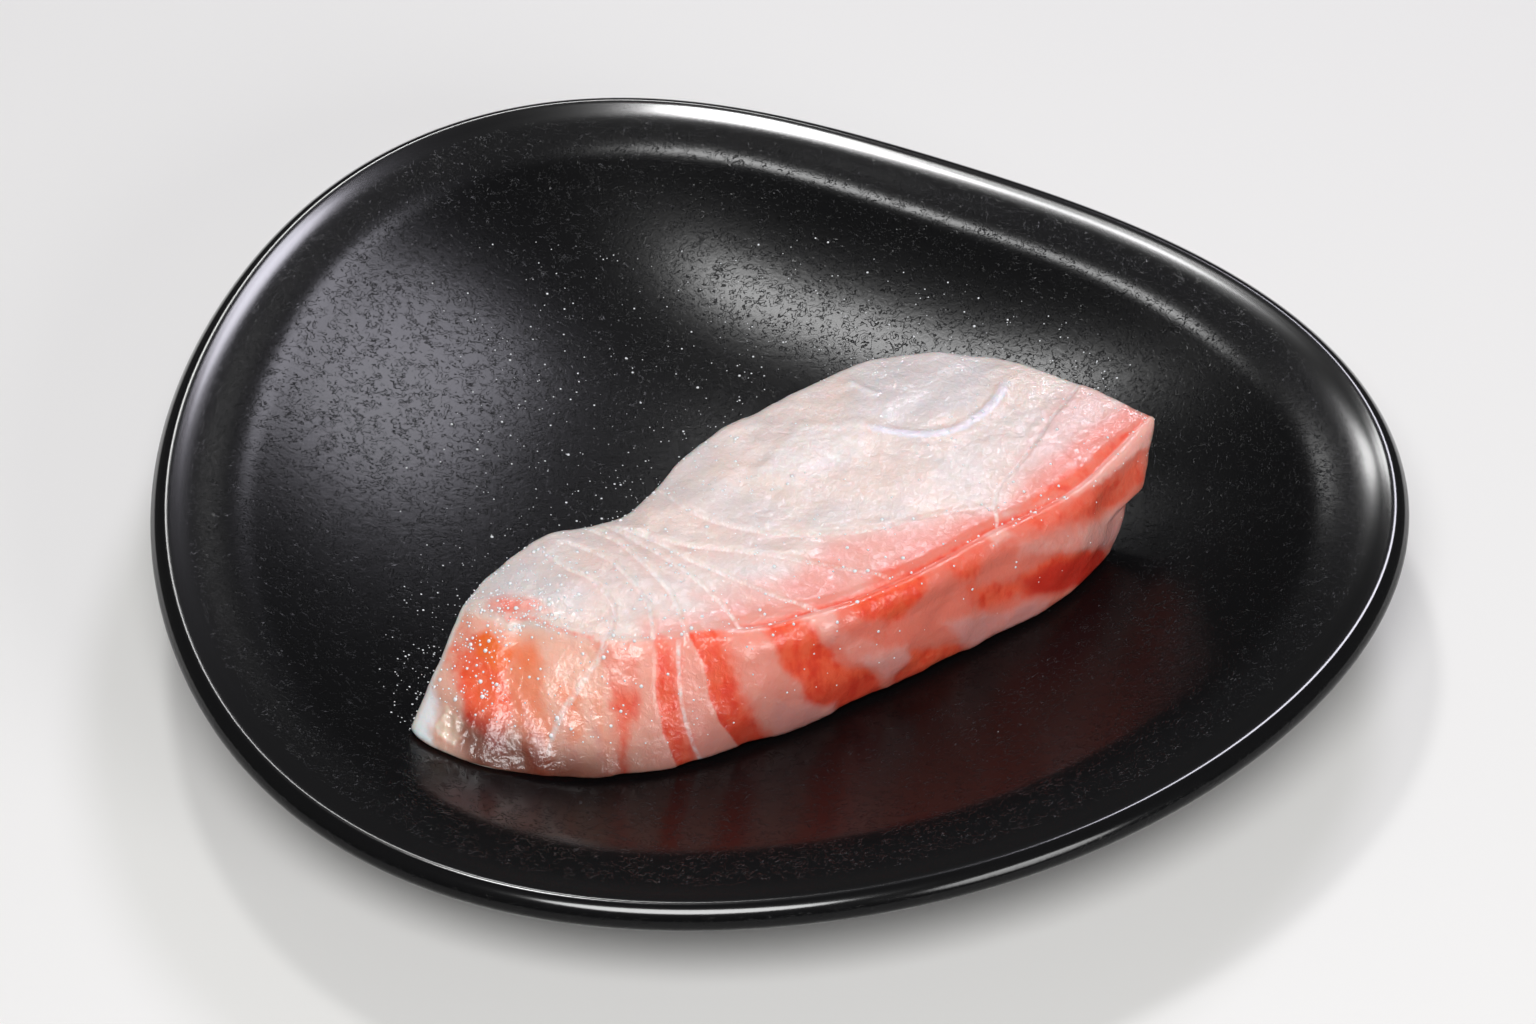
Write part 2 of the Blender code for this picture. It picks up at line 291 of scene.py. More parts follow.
def make_dish():
    bm = bmesh.new()
    bmesh.ops.create_circle(bm, cap_ends=True, cap_tris=True, segments=SPOKES, radius=1.0)
    hub = next(v for v in bm.verts if len(v.link_edges) == SPOKES)
    rim = [v for v in bm.verts if v is not hub]
    bmesh.ops.translate(bm, verts=bm.verts[:], vec=(*(CENTRE * MM), BOWL_BOTTOM * MM))
    edges = [e for e in bm.edges if e.is_boundary]
    rings = dish_rings()
    place_ring(rim, rings[0])
    for ring in rings[1:]:
        grown = bmesh.ops.extrude_edge_only(bm, edges=edges)["geom"]
        place_ring([g for g in grown if isinstance(g, bmesh.types.BMVert)], ring)
        edges = [g for g in grown if isinstance(g, bmesh.types.BMEdge) and g.is_boundary]
    cap = bmesh.ops.contextual_create(bm, geom=edges)["faces"]
    bmesh.ops.poke(bm, faces=cap)
    bmesh.ops.recalc_face_normals(bm, faces=bm.faces[:])
    return link_piece("glazed_dish", bm)


dish = make_dish()
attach(dish, "root")
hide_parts("plate")
print("dish has", len(dish.data.polygons), "faces")

# %% [markdown]
# ## The glaze
#
# The glaze is satin in the bowl: it reflects weakly, and it dried on the kiln shelf into a skin of
# very fine wrinkles, 1 to 2 mm long, so a lamp's reflection is a soft pool with a leathery grain.
# On the shoulder and the rolled lip it ran smooth and glassy, and there it mirrors a lamp as a
# bright band. One material does both. Its base is the satin, with a low index of refraction, and
# a glassy coat comes in towards the lip, let in by a mask on height. The wrinkles are a bump,
# since they are a few hundredths of a millimetre deep.

# %% Satin black glaze
GLAZE_COLOUR = "#0c0c0d"
BARE_CLAY = "#3a322c"
CLAY_TOP, CLAY_FULL = 0.5, 0.15
WRINKLE_SIZE, WRINKLE_WANDER = 1.3, 1.6
WRINKLE_WIDTH = 0.05
WRINKLE_HEIGHT = 0.03
FOLD_SHARE = 0.25
GAP_SIZE, GAP_START, GAP_END = 1.9, 0.40, 0.52
SATIN_ROUGHNESS, SATIN_IOR = 0.19, 1.26
LIP_ROUGHNESS = 0.10
COAT_ROUGHNESS, COAT_IOR = 0.15, 1.52
GLASSY_START, GLASSY_FULL = 24.3, 25.2


def satin_black_glaze():
    material, tree, out = new_material("satin_black_glazed_stoneware")
    place = add_node(tree, "ShaderNodeTexCoord").outputs["Object"]
    height = add_node(tree, "ShaderNodeSeparateXYZ", Vector=place).outputs["Z"]
    inside = ramp(tree, height, GLASSY_FULL * MM, GLASSY_START * MM)
    glassy = ramp(tree, height, GLASSY_START * MM, GLASSY_FULL * MM)
    folds = pattern(tree, place, WRINKLE_SIZE, 0.0, WRINKLE_WANDER)
    off_middle = math_node(tree, "ABSOLUTE", math_node(tree, "SUBTRACT", folds, 0.5))
    strokes = ramp(tree, off_middle, 0.0, WRINKLE_WIDTH, 1.0, 0.0)
    broken = ramp(tree, pattern(tree, place, GAP_SIZE, 1.0), GAP_START, GAP_END)
    wrinkles = math_node(tree, "MULTIPLY", strokes, broken)
    skin_height = math_node(tree, "MULTIPLY_ADD", folds, FOLD_SHARE, wrinkles)
    wrinkle_bump = add_node(tree, "ShaderNodeBump", Strength=inside,
                            Distance=WRINKLE_HEIGHT * MM, Height=skin_height)
    roughness = add_node(tree, "ShaderNodeMix", {"data_type": "FLOAT"}, Factor=inside,
                         _2=LIP_ROUGHNESS, _3=SATIN_ROUGHNESS)
    clay = ramp(tree, height, CLAY_TOP * MM, CLAY_FULL * MM)
    colour = add_node(tree, "ShaderNodeMix", {"data_type": "RGBA"}, Factor=clay,
                      _6=linear(GLAZE_COLOUR), _7=linear(BARE_CLAY))
    skin = add_node(tree, "ShaderNodeBsdfPrincipled", Base_Color=colour.outputs[2],
                    Roughness=roughness.outputs[0], Normal=wrinkle_bump.outputs["Normal"],
                    IOR=SATIN_IOR, Coat_Weight=glassy, Coat_Roughness=COAT_ROUGHNESS,
                    Coat_IOR=COAT_IOR)
    tree.links.new(skin.outputs["BSDF"], out.inputs["Surface"])
    return material


dish.data.materials.append(satin_black_glaze())
print("glaze has", len(dish.data.materials[0].node_tree.nodes), "nodes")

# %% [markdown]
# ## The block of fish
#
# The block is cut from the back of a fillet. Its top is the cut face, its front is the side that
# lay against the skin. In Blender it starts as a cube with many fine cuts. Each point of the cube
# is then carried to its place between four curved edges, its underside follows the bowl, and a
# few passes of smoothing round the cut edges over, as soft flesh rounds them.

# %% Sizes of the fish, in millimetres
FISH_ORIGIN = (-58.0, -55.0)
FISH_ANGLE = math.radians(24.0)
FISH_GAP = 0.45
FISH_CUTS = (252, 88, 46)
ROUNDING_PASSES = 22
SOFT_PASSES = 30
SOFT_CORNER = (-0.42, -0.55, 0.3)
STATIONS = (0.0, 0.08, 0.18, 0.30, 0.45, 0.60, 0.75, 0.88, 1.0)
FRONT_TOP = (
    (20.0, 0.6, 32.6), (24.5, -4.4, 33.6), (31.5, -10.6, 34.0), (44.0, -14.0, 33.6),
    (60.0, -16.2, 33.1), (77.0, -15.2, 32.8), (97.0, -10.4, 32.6), (114.0, -6.6, 32.6),
    (130.0, 3.4, 33.0),
)
BACK_TOP = (
    (13.8, 8.6, 32.0), (19.5, 12.2, 32.8), (30.0, 16.9, 33.3), (43.5, 16.2, 32.8),
    (60.0, 26.6, 33.4), (77.0, 32.0, 33.2), (95.0, 35.5, 33.0), (106.0, 32.6, 32.8),
    (112.5, 27.4, 32.4),
)
FRONT_FOOT = (
    (9.9, -14.8), (17.0, -19.2), (26.5, -22.2), (38.0, -23.3), (54.5, -21.5),
    (72.0, -19.0), (92.5, -15.3), (108.5, -12.2), (120.0, -6.8),
)
BACK_FOOT = (
    (0.0, -2.6), (10.0, 6.4), (24.0, 12.4), (41.0, 14.2), (58.0, 24.4),
    (75.0, 30.4), (93.0, 32.4), (105.0, 30.6), (111.5, 26.5),
)
END_BULGE = 2.4
END_REACH = 6.0
CROWN = 1.1
FRONT_BELLY = 1.3
print("the front top edge runs", FRONT_TOP[-1][0] - FRONT_TOP[0][0], "mm along the block")


# %% The plain form of the block
def smooth(value):
    value = np.clip(value, 0.0, 1.0)
    return value * value * (3.0 - 2.0 * value)


def rail(points, share):
    """Points of an edge at shares of its length, on a smooth curve through its stations."""
    stations, points = np.array(STATIONS), np.array(points, float)
    lo = np.maximum(np.arange(len(stations)) - 1, 0)
    hi = np.minimum(np.arange(len(stations)) + 1, len(stations) - 1)
    slopes = (points[hi] - points[lo]) / (stations[hi] - stations[lo])[:, None]
    k = np.clip(np.searchsorted(stations, share, side="right") - 1, 0, len(stations) - 2)
    span = (stations[k + 1] - stations[k])[:, None]
    t = (share - stations[k])[:, None] / span
    return hermite(t, points[k], points[k + 1], slopes[k] * span, slopes[k + 1] * span)


def fish_to_plan(along, across):
    cos, sin = math.cos(FISH_ANGLE), math.sin(FISH_ANGLE)
    return FISH_ORIGIN[0] + along * cos - across * sin, FISH_ORIGIN[1] + along * sin + across * cos


def on_bowl(foot):
    """The same places with their height on the bowl, a hair above the glaze."""
    x, y = fish_to_plan(foot[:, 0], foot[:, 1])
    return np.column_stack([foot, bowl_height(x, y) + FISH_GAP])


def fish_form(shape):
    """Each cube point's place: its a, b, c run along, front to back and foot to top, -1 to 1."""
    a, b, c = shape.T
    share = (a + 1.0) / 2.0
    back, top = (b[:, None] + 1.0) / 2.0, (c[:, None] + 1.0) / 2.0
    low = on_bowl(rail(FRONT_FOOT, share)) * (1.0 - back) + on_bowl(rail(BACK_FOOT, share)) * back
    high = rail(FRONT_TOP, share) * (1.0 - back) + rail(BACK_TOP, share) * back
    points = low * (1.0 - top) + high * top
    points[:, 2] += CROWN * (1.0 - b * b) * top[:, 0]
    points[:, 1] -= FRONT_BELLY * (1.0 - c * c) * (1.0 - back[:, 0])
    near_left_end = smooth((-a - 1.0) * END_REACH + 1.0)
    points[:, 0] -= END_BULGE * (1.0 - b * b) * (1.0 - top[:, 0]) * near_left_end
    return points


middle = fish_form(np.array([[0.0, -1.0, 1.0], [0.0, 1.0, 1.0]]))
print("at half its length the top is", np.linalg.norm(middle[1] - middle[0]).round(1), "mm wide")


# %% Cut the cube and carry it to the block
def cut_cube(cuts_per_axis):
    """A cube from -1 to 1 with its faces cut into a fine grid."""
    bm = bmesh.new()
    bmesh.ops.create_cube(bm, size=2.0)
    for axis, cuts in enumerate(cuts_per_axis):
        run = [e for e in bm.edges if abs(e.verts[0].co[axis] - e.verts[1].co[axis]) > 1e-6]
        bmesh.ops.subdivide_edges(bm, edges=run, cuts=cuts, use_grid_fill=True)
    return bm


fish_bm = cut_cube(FISH_CUTS)
fish_shape = np.array([v.co[:] for v in fish_bm.verts])
for vert, place in zip(fish_bm.verts, fish_form(fish_shape)):
    vert.co = place
soft_corner = [v for v, (a, b, c) in zip(fish_bm.verts, fish_shape)
               if a < SOFT_CORNER[0] and b < SOFT_CORNER[1] and c > SOFT_CORNER[2]]
for verts, passes in ((fish_bm.verts[:], ROUNDING_PASSES), (soft_corner, SOFT_PASSES)):
    for _ in range(passes):
        bmesh.ops.smooth_vert(fish_bm, verts=verts, factor=0.5, use_axis_x=True,
                              use_axis_y=True, use_axis_z=True)
bmesh.ops.recalc_face_normals(fish_bm, faces=fish_bm.faces[:])
fish_bm.normal_update()
fish_places = np.array([v.co[:] for v in fish_bm.verts])
fish_normals = np.array([v.normal[:] for v in fish_bm.verts])
print("block of", len(fish_places), "points, smoothed")

# %% [markdown]
# ## Finding the way on the fish
#
# Everything that is drawn on the block needs a place on it. Two flat maps are enough. The top is
# drawn in plan, as millimetres along the block and across it. The front and the left end are
# drawn as one sees them from the front, as millimetres along the block and height above the
# table. How far a point lies back from the front top edge tells which map it is on.

# %% Maps of the top and of the front
fish_share = (fish_shape[:, 0] + 1.0) / 2.0
front_top, back_top = rail(FRONT_TOP, fish_share), rail(BACK_TOP, fish_share)
front_foot = on_bowl(rail(FRONT_FOOT, fish_share))
top_width = np.linalg.norm(back_top - front_top, axis=1)
front_depth = np.linalg.norm(front_top - front_foot, axis=1)
behind_edge = (fish_shape[:, 1] + 1.0) / 2.0 * top_width
below_edge = (1.0 - fish_shape[:, 2]) / 2.0 * front_depth
plan_map = fish_places[:, :2].copy()
front_map = fish_places[:, [0, 2]].copy()
along = fish_places[:, 0]
is_back = smooth((fish_shape[:, 1] - 0.75) / 0.2) * (fish_shape[:, 2] < 0.999)
on_top = smooth((1.6 - below_edge) / 1.6) * smooth((behind_edge + 0.4) / 1.2)
on_front = smooth((1.5 - behind_edge) / 1.5) * (1.0 - is_back)
on_end = (fish_shape[:, 0] < -0.999) * smooth((below_edge - 0.5) / 2.0) * (1.0 - is_back)
seen_from_front = np.maximum(on_front, on_end)
print("points on top:", int(on_top.sum()), "and seen from the front:", int(seen_from_front.sum()))

# %% [markdown]
# ## Seams between the flakes
#
# Fish muscle is built of curved sheets, and where the knife crosses a wall between two of them
# it leaves a fine white seam with a low step. On this block they fan out from the narrow end.
# Each seam is a smooth curve through a few places on the top, from back to front.

# %% Seams on the top, as places along and across the block
SEAMS = (
    ((28.0, 14.6), (30.5, 7.2), (32.9, 2.8), (34.0, -3.2), (31.8, -8.0), (29.4, -9.6)),
    ((33.0, 13.0), (37.0, 6.3), (38.8, -2.0), (38.6, -6.8), (36.8, -12.6)),
    ((37.0, 15.0), (40.1, 9.1), (41.9, 1.6), (42.9, -4.7), (42.0, -12.6)),
    ((40.0, 14.0), (44.0, 5.9), (47.3, -1.5), (49.0, -7.6), (50.3, -14.6)),
    ((41.5, 13.0), (45.9, 6.3), (49.7, -0.6), (57.8, -11.2), (64.0, -16.2)),
    ((42.5, 12.0), (48.0, 5.4), (55.0, 0.3), (67.5, -7.8), (75.5, -13.4)),
    ((51.0, 18.6), (54.0, 9.5), (61.8, 1.8), (76.4, -3.6), (90.5, -4.3), (98.4, -5.6)),
    ((121.4, 14.4), (117.4, 10.1), (108.0, 2.4), (101.0, -2.0), (98.5, -4.8), (97.0, -9.4)),
)
MEMBRANE = ((84.5, 21.8), (90.1, 15.9), (97.0, 12.3), (104.0, 13.0), (110.5, 17.0), (114.6, 22.4))
SEAM_STEPS = 8


def distance_to_curve(places, curve):
    """For each place the distance to the nearest stretch, its side, and the share run so far."""
    nearest = np.full(len(places), 1e9)
    side = np.zeros(len(places))
    run = np.zeros(len(places))
    for k, (start, end) in enumerate(zip(curve[:-1], curve[1:])):
        step = end - start
        away = places - start
        share = np.clip(away @ step / (step @ step), 0.0, 1.0)
        away = away - share[:, None] * step
        reach = np.hypot(away[:, 0], away[:, 1])
        closer = reach < nearest
        nearest[closer] = reach[closer]
        side[closer] = np.sign(step[0] * away[:, 1] - step[1] * away[:, 0])[closer]
        run[closer] = (k + share[closer]) / (len(curve) - 1)
    return nearest, side, run


seam_rows = [distance_to_curve(plan_map, through(seam, SEAM_STEPS)) for seam in SEAMS]
seam_reach = np.min([reach for reach, _, _ in seam_rows], axis=0)
membrane_reach, _, membrane_run = distance_to_curve(plan_map, through(MEMBRANE, SEAM_STEPS))
print(len(SEAMS), "seams, the nearest point lies", seam_reach.min().round(3), "mm from one")

# %% [markdown]
# ## Red muscle and white fat
#
# Next to the skin runs the red muscle, and the front of the block cuts through it. At the left it
# shows as bands that end crisply against a seam on one side and fade on the other. On the right
# it is a mottled red field with patches of white fat. Each patch is drawn as an outline in
# millimetres, with a soft edge of its own. The outlines are drawn on a map that noise has pushed
# about, so that their edges wander like real fibres.

# %% A patch
def patch(places, outline, softness):
    """1 inside the outline and 0 outside, with an edge that many millimetres soft."""
    outline = np.array(outline)
    nearest = np.full(len(places), 1e9)
    inside = np.zeros(len(places), bool)
    for start, end in zip(outline, np.roll(outline, -1, axis=0)):
        step, away = end - start, places - start
        share = np.clip(away @ step / (step @ step), 0.0, 1.0)
        nearest = np.minimum(nearest, np.linalg.norm(away - share[:, None] * step, axis=1))
        crosses = (start[1] > places[:, 1]) != (end[1] > places[:, 1])
        reach = start[0] + away[:, 1] * step[0] / (step[1] or 1e-9)
        inside ^= crosses & (places[:, 0] < reach)
    return smooth(np.where(inside, nearest, -nearest) / softness + 0.5)


def paint(places, where, patches):
    """Patches laid over each other like thin paint: softness, strength and outline of each."""
    bare = np.ones(len(places))
    near = where > 0.01
    for softness, strength, outline in patches:
        bare[near] *= 1.0 - strength * patch(places[near], outline, softness)
    return (1.0 - bare) * where


def noise_field(places, size, offset=0.0):
    """Smooth noise from -1 to 1 with bumps of that size."""
    return np.array([noise.noise(Vector(p) / size + Vector((offset, 0.0, 0.0))) for p in places])


square = ((0.0, 0.0), (2.0, 0.0), (2.0, 2.0), (0.0, 2.0))
print("in a patch's middle the paint is", patch(np.array([[1.0, 1.0]]), square, 0.5)[0])

# %% Patches on the front: softness, strength, and the outline along the block and in height
RED_FRONT = (
    (3.6, 0.75, ((28.6, 29.0), (32.5, 28.4), (31.7, 25.5), (29.7, 23.1), (28.6, 19.8), (28.8, 16.0),
        (27.0, 16.0), (26.6, 19.9), (27.1, 23.5))),
    (2.7, 1.0, ((53.8, 33.3), (54.0, 31.3), (55.1, 28.0), (55.9, 26.0), (58.2, 22.3), (58.6, 19.3),
        (61.1, 17.2), (64.5, 14.0), (71.5, 14.0), (70.1, 20.0), (66.6, 21.9), (63.8, 24.7),
        (62.9, 28.0), (60.8, 31.1), (59.0, 33.2))),
    (3.2, 1.0, ((67.8, 33.4), (73.0, 33.4), (79.6, 33.4), (82.3, 31.7), (79.5, 28.5), (77.6, 27.4),
        (75.0, 26.8), (70.5, 29.4), (68.4, 31.4))),
    (3.5, 0.75, ((85.5, 31.0), (88.7, 31.6), (92.8, 31.1), (92.0, 28.7), (90.3, 26.5),
        (87.0, 28.3))),
    (2.7, 0.62, ((98.7, 32.6), (103.3, 32.4), (108.9, 31.9), (113.3, 31.8), (119.1, 30.6),
        (125.0, 29.0), (125.5, 25.8), (120.0, 24.0), (115.4, 26.0), (108.0, 29.0),
        (103.6, 30.1), (100.8, 31.0))),
    (3.0, 1.0, ((99.5, 23.6), (107.6, 24.4), (118.0, 19.0), (119.4, 14.0), (111.9, 14.6),
        (105.8, 16.7), (100.1, 19.0))),
    (3.5, 0.80, ((88.7, 26.2), (101.3, 22.5), (100.5, 19.9), (94.6, 19.6), (91.0, 21.1))),
    (2.2, 0.90, ((65.0, 22.3), (71.0, 18.0), (73.3, 13.5), (64.2, 13.5))),
    (2.4, 0.90, ((76.9, 20.8), (88.6, 15.8), (88.6, 13.0), (73.7, 13.0))),
    (2.6, 1.0, ((9.0, 27.6), (13.4, 30.6), (16.0, 30.2), (15.2, 27.6), (13.4, 23.6), (11.3, 21.2),
        (8.0, 22.4))),
)
CRIMSON_FRONT = (
    (3.0, 0.9, ((99.5, 22.6), (107.6, 23.0), (118.0, 18.6), (119.4, 14.0), (108.9, 14.6),
        (101.1, 18.0))),
    (3.0, 0.5, ((58.0, 20.0), (72.0, 19.0), (80.0, 15.0), (80.0, 12.0), (58.0, 12.0))),
    (3.0, 0.4, ((43.0, 22.0), (51.0, 20.0), (52.0, 13.0), (45.0, 13.0))),
)
PINK_FRONT = (
    (2.0, 0.55, ((28.2, 34.2), (34.2, 34.2), (32.8, 26.3), (28.0, 26.0))),
    (2.4, 0.40, ((47.0, 33.8), (54.8, 33.3), (56.9, 26.0), (59.6, 19.3), (55.7, 19.0),
        (50.5, 24.0))),
    (3.0, 0.95, ((66.0, 34.0), (82.0, 34.5), (98.0, 34.5), (130.0, 34.0), (130.0, 10.0),
        (66.0, 10.0), (63.0, 29.0))),
    (2.5, 0.38, ((6.4, 31.6), (12.0, 33.0), (19.0, 33.0), (17.5, 24.0), (8.0, 22.6))),
)
WHITE_FRONT = (
    (1.9, 0.55, ((51.6, 19.4), (53.2, 21.5), (58.6, 19.3), (64.2, 16.4), (64.0, 13.0),
        (53.0, 13.0))),
    (2.8, 0.75, ((61.7, 32.9), (65.6, 32.8), (65.6, 31.2), (64.0, 28.4), (61.9, 31.0))),
    (2.4, 0.50, ((63.2, 29.1), (65.1, 30.2), (70.9, 25.7), (76.7, 21.1), (77.7, 18.7),
        (71.9, 20.0), (66.7, 23.4))),
    (1.8, 0.85, ((93.8, 33.4), (97.9, 33.2), (98.8, 30.8), (95.4, 30.7))),
    (2.7, 0.60, ((98.9, 29.9), (107.9, 28.4), (121.4, 23.7), (122.8, 19.0), (118.8, 17.0),
        (115.4, 19.9), (107.7, 24.6), (102.6, 25.6), (98.5, 27.4))),
    (3.0, 0.75, ((112.0, 25.6), (122.4, 23.7), (123.8, 18.0), (119.0, 17.0), (113.0, 22.2))),
    (3.2, 0.75, ((84.0, 22.2), (91.0, 21.1), (94.5, 18.8), (101.0, 18.2), (106.0, 16.2),
        (104.0, 13.0), (90.4, 13.0), (86.8, 17.1))),
    (2.8, 0.65, ((67.7, 22.7), (72.1, 23.2), (78.0, 21.5), (77.7, 17.9), (72.9, 16.6),
        (71.7, 18.2))),
    (1.6, 0.95, ((104.0, 34.6), (112.0, 34.6), (122.0, 34.6), (133.0, 34.0), (132.0, 28.8),
        (120.0, 30.6), (110.0, 32.2))),
    (2.2, 0.60, ((16.2, 26.8), (17.4, 24.8), (16.6, 19.0), (14.6, 19.0), (15.0, 23.0))),
    (2.4, 0.45, ((21.0, 27.0), (22.4, 27.0), (21.4, 19.0), (18.8, 19.0), (19.6, 23.0))),
    (2.4, 0.45, ((24.4, 26.0), (26.4, 24.5), (25.8, 17.5), (23.4, 18.0), (23.8, 23.0))),
)
TAN_FRONT = (
    (2.4, 0.80, ((16.4, 31.0), (20.9, 31.6), (20.5, 28.6), (18.8, 24.6), (17.6, 19.4), (14.4, 19.0),
        (14.5, 26.3))),
    (1.4, 0.40, ((25.6, 29.0), (27.0, 28.6), (26.4, 22.0), (26.0, 17.0), (24.8, 17.0),
        (25.2, 23.0))),
    (1.6, 0.65, ((21.9, 29.0), (24.4, 28.0), (23.0, 23.2), (20.9, 22.2))),
    (2.0, 0.60, ((14.4, 23.0), (17.8, 23.0), (17.6, 15.5), (14.8, 15.5))),
)
ORANGE_FRONT = (
    (1.2, 0.95, ((13.6, 30.4), (15.6, 31.7), (16.3, 30.7), (17.5, 30.7), (16.7, 29.6), (15.3, 28.6),
        (13.7, 29.0), (12.9, 29.3))),
    (2.4, 0.45, ((17.0, 31.4), (21.6, 32.6), (21.2, 30.0), (18.0, 28.0))),
    (3.0, 0.45, ((9.6, 28.0), (15.4, 30.6), (15.0, 26.0), (13.2, 22.0), (9.4, 23.0))),
)
CREAM_FAT = (
    (0.9, 1.0, ((3.4, 22.2), (5.9, 23.7), (7.8, 23.0), (7.0, 21.8), (5.3, 20.9), (3.4, 21.0))),
)
GREY_TIP = (
    (1.0, 0.95, ((0.0, 20.0), (0.6, 22.4), (2.6, 24.0), (5.6, 26.0), (5.1, 23.5), (3.1, 21.8),
        (2.0, 20.0))),
)
FRONT_SEAMS = (
    ((30.1, 33.7), (29.1, 32.7), (26.5, 30.3), (23.4, 27.6), (20.8, 25.3), (18.8, 23.1),
     (17.3, 20.8)),
    ((40.6, 33.4), (39.4, 30.0), (38.6, 25.0), (39.0, 20.0), (40.4, 15.0)),
)
SHADE_SPREAD = 2.2
CREASE_START, CREASE_FULL, CREASE_FADE = 0.28, 0.42, 0.07
CREASE_PLACE = 0.7
VEIN = ((18.7, 1.7), (22.3, -0.8), (24.0, -3.4), (26.7, -6.3), (28.6, -8.1))
FIBRE_SIZES = ((4.2, 0.70), (1.7, 0.32), (0.8, 0.12))
BAND_EDGE = 0.5
RED_BANDS = (
    (3.2, 4.6, 0.55, ((38.6, 36.0), (36.9, 33.0), (35.1, 28.5), (34.8, 22.5), (35.6, 18.3),
        (36.6, 14.0))),
    (3.2, 4.2, 0.90, ((35.8, 30.0), (35.1, 28.5), (34.8, 22.5), (35.6, 18.3), (36.6, 14.0))),
    (4.9, 5.4, 1.00, ((42.0, 35.0), (42.7, 33.0), (43.2, 29.0), (43.1, 25.0), (43.8, 22.0),
        (45.2, 18.9), (47.4, 14.0))),
)


def beside(places, curve, width, softness):
    """1 to the right of a curve that runs downwards: crisp along it, fading at that width."""
    reach, side, _ = distance_to_curve(places, np.array(curve))
    return (smooth(side * reach / BAND_EDGE + 0.5)
            * smooth((width - reach) / softness + 0.5))


wander = np.zeros((len(fish_places), 2))
for size, reach in FIBRE_SIZES:
    for axis, offset in enumerate((11.0, 37.0)):
        wander[:, axis] += reach * noise_field(fish_places, size, offset)
fibrous_front = front_map + wander
front_red = paint(fibrous_front, seen_from_front, RED_FRONT)
for width, softness, strength, curve in RED_BANDS:
    band = strength * beside(front_map + 0.35 * wander, curve, width, softness) * seen_from_front
    front_red = 1.0 - (1.0 - front_red) * (1.0 - band)
crimson, pink, front_white, front_tan, orange, fat, tip = [
    paint(fibrous_front, seen_from_front, patches) for patches in (
        CRIMSON_FRONT, PINK_FRONT, WHITE_FRONT, TAN_FRONT, ORANGE_FRONT, CREAM_FAT, GREY_TIP)]
front_seam_reach = np.min([distance_to_curve(front_map + 0.12 * wander, through(seam, 8))[0]
                           for seam in FRONT_SEAMS], axis=0)
print("red covers", round(100.0 * front_red.sum() / seen_from_front.sum()), "% of the front")

# %% Patches on the top: softness, strength, and the outline along and across the block
RED_TOP = (
    (2.0, 0.40, ((16.5, 5.0), (17.3, 6.2), (19.4, 5.4), (21.2, 3.6), (20.2, 2.2), (18.0, 3.2))),
    (1.4, 0.35, ((19.0, 5.0), (22.7, 3.2), (24.6, 0.4), (22.0, 0.6), (19.2, 2.6))),
    (2.0, 0.45, ((71.0, -14.6), (75.8, -11.6), (81.2, -12.4), (71.0, -16.5))),
    (1.6, 0.62, ((102.0, -7.6), (104.3, -5.9), (115.6, -2.2), (128.8, 3.8), (130.5, 1.5),
        (116.0, -5.8))),
    (1.2, 0.35, ((84.0, -13.0), (92.0, -9.8), (98.3, -9.2), (98.0, -11.0), (84.0, -14.6))),
)
BLUSH_TOP = (
    (5.0, 0.60, ((70.0, -3.5), (80.3, -4.8), (93.7, -5.2), (99.4, -8.3), (97.3, -13.6),
        (71.8, -16.1), (62.1, -16.6), (58.8, -9.8))),
    (3.0, 0.66, ((82.3, -9.6), (91.7, -7.7), (98.3, -7.2), (98.5, -12.2), (77.2, -15.2),
        (73.0, -12.6))),
    (3.5, 0.75, ((98.6, -6.8), (104.3, -3.3), (116.6, 2.2), (129.8, 8.8), (133.0, 2.9),
        (116.0, -6.0), (101.7, -9.8))),
    (4.5, 0.35, ((46.0, -6.3), (58.0, -6.9), (64.6, -9.6), (70.0, -12.3), (66.0, -17.5),
        (52.0, -16.0))),
    (3.5, 0.45, ((36.5, -8.3), (41.5, -9.9), (44.6, -9.6), (52.0, -10.3), (60.1, -12.5),
        (62.0, -18.0), (42.6, -17.0), (34.4, -12.9))),
    (2.0, 0.45, ((15.9, 4.8), (17.3, 6.6), (19.8, 6.0), (23.6, 2.8), (25.2, -1.0), (21.7, 0.4),
        (18.0, 2.3))),
    (4.0, 0.30, ((100.0, -4.0), (112.0, 6.0), (124.0, 18.0), (131.0, 6.0), (118.0, -2.0))),
)
CLEAR_TOP = (
    (5.0, 0.8, ((86.0, 22.0), (92.0, 35.0), (108.0, 33.0), (113.0, 24.0), (104.0, 16.0),
        (92.0, 17.0))),
    (4.0, 0.6, ((17.0, 9.0), (22.0, 13.0), (31.0, 10.0), (33.0, 1.0), (28.0, -4.0), (24.0, 2.0))),
    (4.0, 0.5, ((102.0, -1.7), (120.4, 16.0), (125.6, 9.6), (115.8, 1.5), (105.9, -2.9))),
)
# Whiter patches on the top: partly paler flesh, partly painted sheen where the flat top mirrors a
# lamp.
MILKY_AND_SHEEN_TOP = (
    (1.5, 0.7, ((88.6, 30.2), (90.4, 30.4), (91.0, 27.8), (92.6, 25.4), (91.4, 24.6),
        (89.8, 26.6))),
    (2.5, 0.5, ((66.0, 16.0), (78.0, 24.0), (88.0, 20.0), (84.0, 12.0), (70.0, 10.0))),
)

